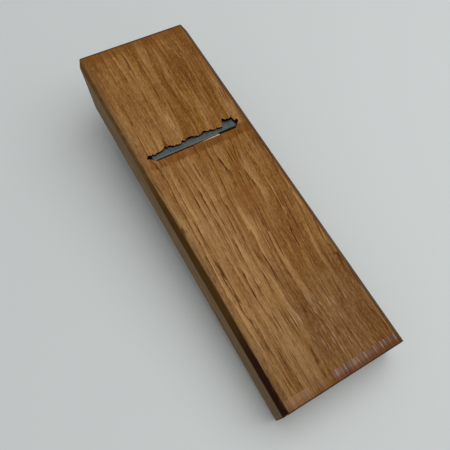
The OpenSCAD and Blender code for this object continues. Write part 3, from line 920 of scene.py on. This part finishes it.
def iron_space(tree):
    """Millimetres, whole and in parts, the same up the slope of the blade and across it, and how
    far a face looks out of the sole, as the bevel does."""
    mm = millimetres(tree)
    x, y, z = parted(tree, mm)
    up, out = math.cos(flat_angle), math.sin(flat_angle)
    along = sums(tree, "MULTIPLY_ADD", x, -up, all_of(tree, z, -out))
    return mm, x, y, z, joined(tree, along, y), ramp(tree, facing(tree)[2], 0.85, 0.93)


def groove_shade(tree, mm, x, y, z):
    """Painted shade: a black layer where an iron runs into the grooves of the block near the sole.
    """
    ragged = noise(tree, mm, (0.5, 0.5, 0.5), 3.0)
    out = sums(tree, "MULTIPLY_ADD", ragged, 0.8, sums(tree, "ABSOLUTE", y))
    return (groove_shade_black, ramp(tree, out, 31.3, 31.9), between(tree, x, -16.0, 2.0, 1.0),
            ramp(tree, z, -6.0, -4.0))


def forged_iron(name, scale_tone, worn_tone, head):
    """Hand-forged iron: flakes of black scale over worn metal, brown rust in patches and broad
    hammer facets. The bevel is ground bright, with streaks. The last few millimetres below the head
    are burnished by the hammer."""
    look, tree, finish = new_material(name, 0.5, iron_metal)
    mm, x, y, z, slope, bevel = iron_space(tree)
    flakes = noise(tree, mm, (6, 6, 6), 6.0, 0.65)
    rust = noise(tree, mm, (11, 11, 11), 5.0, 0.6)
    pits = noise(tree, mm, (0.6, 0.6, 0.6), 3.0)
    facets = add_node(tree, "TexVoronoi", {"Vector": scaled(tree, mm, (4.5, 4.5, 4.5)),
                                           "Scale": 1.0, "Smoothness": 0.6},
                      feature="SMOOTH_F1").outputs["Distance"]
    streaks = noise(tree, slope, (9.0, 0.3, 1), 3.0)
    struck = all_of(tree, ramp(tree, parted(tree, slope)[0], head - 7.0, head - 2.5),
                    ramp(tree, flakes, 0.4, 0.55, 0.3, 0.9))
    ground = blend(tree, ramp(tree, streaks, 0.35, 0.65), ground_dark, ground_pale)
    body = layered(
        tree, blend(tree, ramp(tree, flakes, 0.38, 0.62), scale_tone, worn_tone),
        (rust_brown, ramp(tree, rust, 0.5, 0.7, 0.0, 0.5)),
        (pit_black, ramp(tree, pits, 0.6, 0.75, 0.0, 0.6)),
        (rubbed_bright, struck),
        (ground, bevel),
        # Painted shade where the iron runs into the grooves.
        groove_shade(tree, mm, x, y, z))
    bright = sums(tree, "MAXIMUM", bevel, struck)
    dull = ramp(tree, flakes, 0.4, 0.65, 0.5, 0.66)
    rough = sums(tree, "SUBTRACT", dull, all_of(tree, bright, 0.14))
    tree.links.new(rough, finish.inputs["Roughness"])
    relief = sums(tree, "MULTIPLY_ADD", sums(tree, "SUBTRACT", 1.0, bevel), 0.55, 0.05)
    height = sums(tree, "MULTIPLY_ADD", facets, 2.0, sums(tree, "ADD", pits, flakes))
    dress(tree, finish, body, height, relief, iron_depth)
    return look


def hard_steel(name, dark_tone, light_tone, edge_tone):
    """Hard steel, stoned along the slope. On the flat face only the land is bright: the hollow
    within it is dark, with scraper marks. The last millimetre at the cutting edge is brightest, but
    painted black at the right end, as the shade of the slit in front of it. There are a few
    tea-coloured stains. Painted shade blackens the sides where the blade runs into the grooves.
    The height over the flat face = z times cos - x times sin of the blade's slope."""
    look, tree, finish = new_material(name, 0.4, steel_metal)
    mm, x, y, z, slope, bevel = iron_space(tree)
    lean, rise = math.sin(flat_angle), math.cos(flat_angle)
    above = sums(tree, "MULTIPLY_ADD", x, -lean, all_of(tree, z, rise))
    clouds = noise(tree, mm, (6, 6, 6), 5.0, 0.6)
    stains = noise(tree, mm, (9, 9, 9), 4.0)
    streaks = noise(tree, slope, (7.0, 0.25, 1), 3.0)
    scraped = noise(tree, slope, (16.0, 1.1, 1), 3.0)
    mixed = sums(tree, "MULTIPLY_ADD", sums(tree, "SUBTRACT", streaks, 0.5), 0.5, clouds)
    hollow = all_of(tree, ramp(tree, above, land_height + 0.03, land_height + 0.12),
                    ramp(tree, parted(tree, slope)[0], 3.5, 4.5),
                    sums(tree, "SUBTRACT", 1.0, bevel))
    pit = blend(tree, ramp(tree, scraped, 0.35, 0.65), hollow_dark, hollow_pale)
    body = layered(
        tree, blend(tree, ramp(tree, mixed, 0.38, 0.62), dark_tone, light_tone),
        (pit, hollow),
        (tea_stain, ramp(tree, stains, 0.58, 0.72, 0.0, 0.45)),
        (edge_tone, ramp(tree, x, -2.9, -1.7, 0.0, 0.8)),
        # Painted shade: the edge black where the dark slit lies in front of it.
        (slit_shade_black, ramp(tree, x, -2.3, -1.8), between(tree, y, 17.0, 36.0, 0.5), 0.92),
        # Painted shade where the steel runs into the grooves.
        groove_shade(tree, mm, x, y, z))
    rough = sums(tree, "MULTIPLY_ADD", hollow, 0.2, ramp(tree, mixed, 0.35, 0.65, 0.32, 0.46))
    tree.links.new(rough, finish.inputs["Roughness"])
    height = sums(tree, "MULTIPLY_ADD", hollow, scraped, streaks)
    dress(tree, finish, body, height, *steel_bump)
    return look


blade_iron = eased("blade_iron", "blade_iron_body",
                   forged_iron("forged_iron", iron_scale, iron_worn, blade_head), body_ease, 3)
blade_steel = eased("blade_steel", "blade_steel_layer",
                    hard_steel("ground_steel", steel_dark, steel_pale, steel_edge), layer_ease)

# Chip breaker
# A thinner plate made the same way, with its two back corners bent down. They press it tight under
# the cross pin and against the flat face of the blade.
breaker_head = 63.7
breaker_ease = 0.0004
breaker_scale, breaker_worn = (72, 72, 74), (104, 103, 101)
breaker_dark, breaker_pale, breaker_edge = (110, 114, 118), (136, 140, 144), (146, 148, 148)

breaker_iron = eased("chip_breaker_iron", "chip_breaker_body",
                     forged_iron("breaker_iron", breaker_scale, breaker_worn, breaker_head),
                     breaker_ease, 3)
breaker_steel = eased("chip_breaker_steel", "chip_breaker_layer",
                      hard_steel("breaker_steel", breaker_dark, breaker_pale, breaker_edge),
                      layer_ease)

# Cross pin
# A plain iron rod driven across the throat from the right cheek, its end a little below the wood.
# It is brown with rust, and rubbed bright where the chip breaker passes under it.
pin_ease = 0.0004
pin_iron, pin_rust, pin_pit = (70, 66, 64), (96, 62, 40), (40, 26, 20)
rubbed_half = 28.0
pin_metal, pin_bump = 0.6, (0.5, 0.0002)


def rusty_rod():
    """Rust in lumps over dark iron, rubbed bright over the middle of the rod's length."""
    look, tree, finish = new_material("pin_iron", 0.6, pin_metal)
    mm = millimetres(tree)
    y = parted(tree, mm)[1]
    lumps = noise(tree, mm, (1.6, 2.4, 1.6), 5.0, 0.6)
    pits = noise(tree, mm, (0.4, 0.4, 0.4))
    rubbed = all_of(tree, between(tree, y, -rubbed_half, rubbed_half, 1.5),
                    ramp(tree, lumps, 0.4, 0.55, 0.8, 0.2))
    body = layered(
        tree, blend(tree, ramp(tree, lumps, 0.42, 0.6), pin_iron, pin_rust),
        (pin_pit, ramp(tree, pits, 0.55, 0.7, 0.0, 0.6)),
        (rubbed_bright, rubbed))
    tree.links.new(ramp(tree, rubbed, 0.0, 0.8, 0.7, 0.4), finish.inputs["Roughness"])
    dress(tree, finish, body, sums(tree, "ADD", lumps, pits), *pin_bump)
    return look


pin = eased("cross_pin", "cross_pin_rod", rusty_rod(), pin_ease, 3)
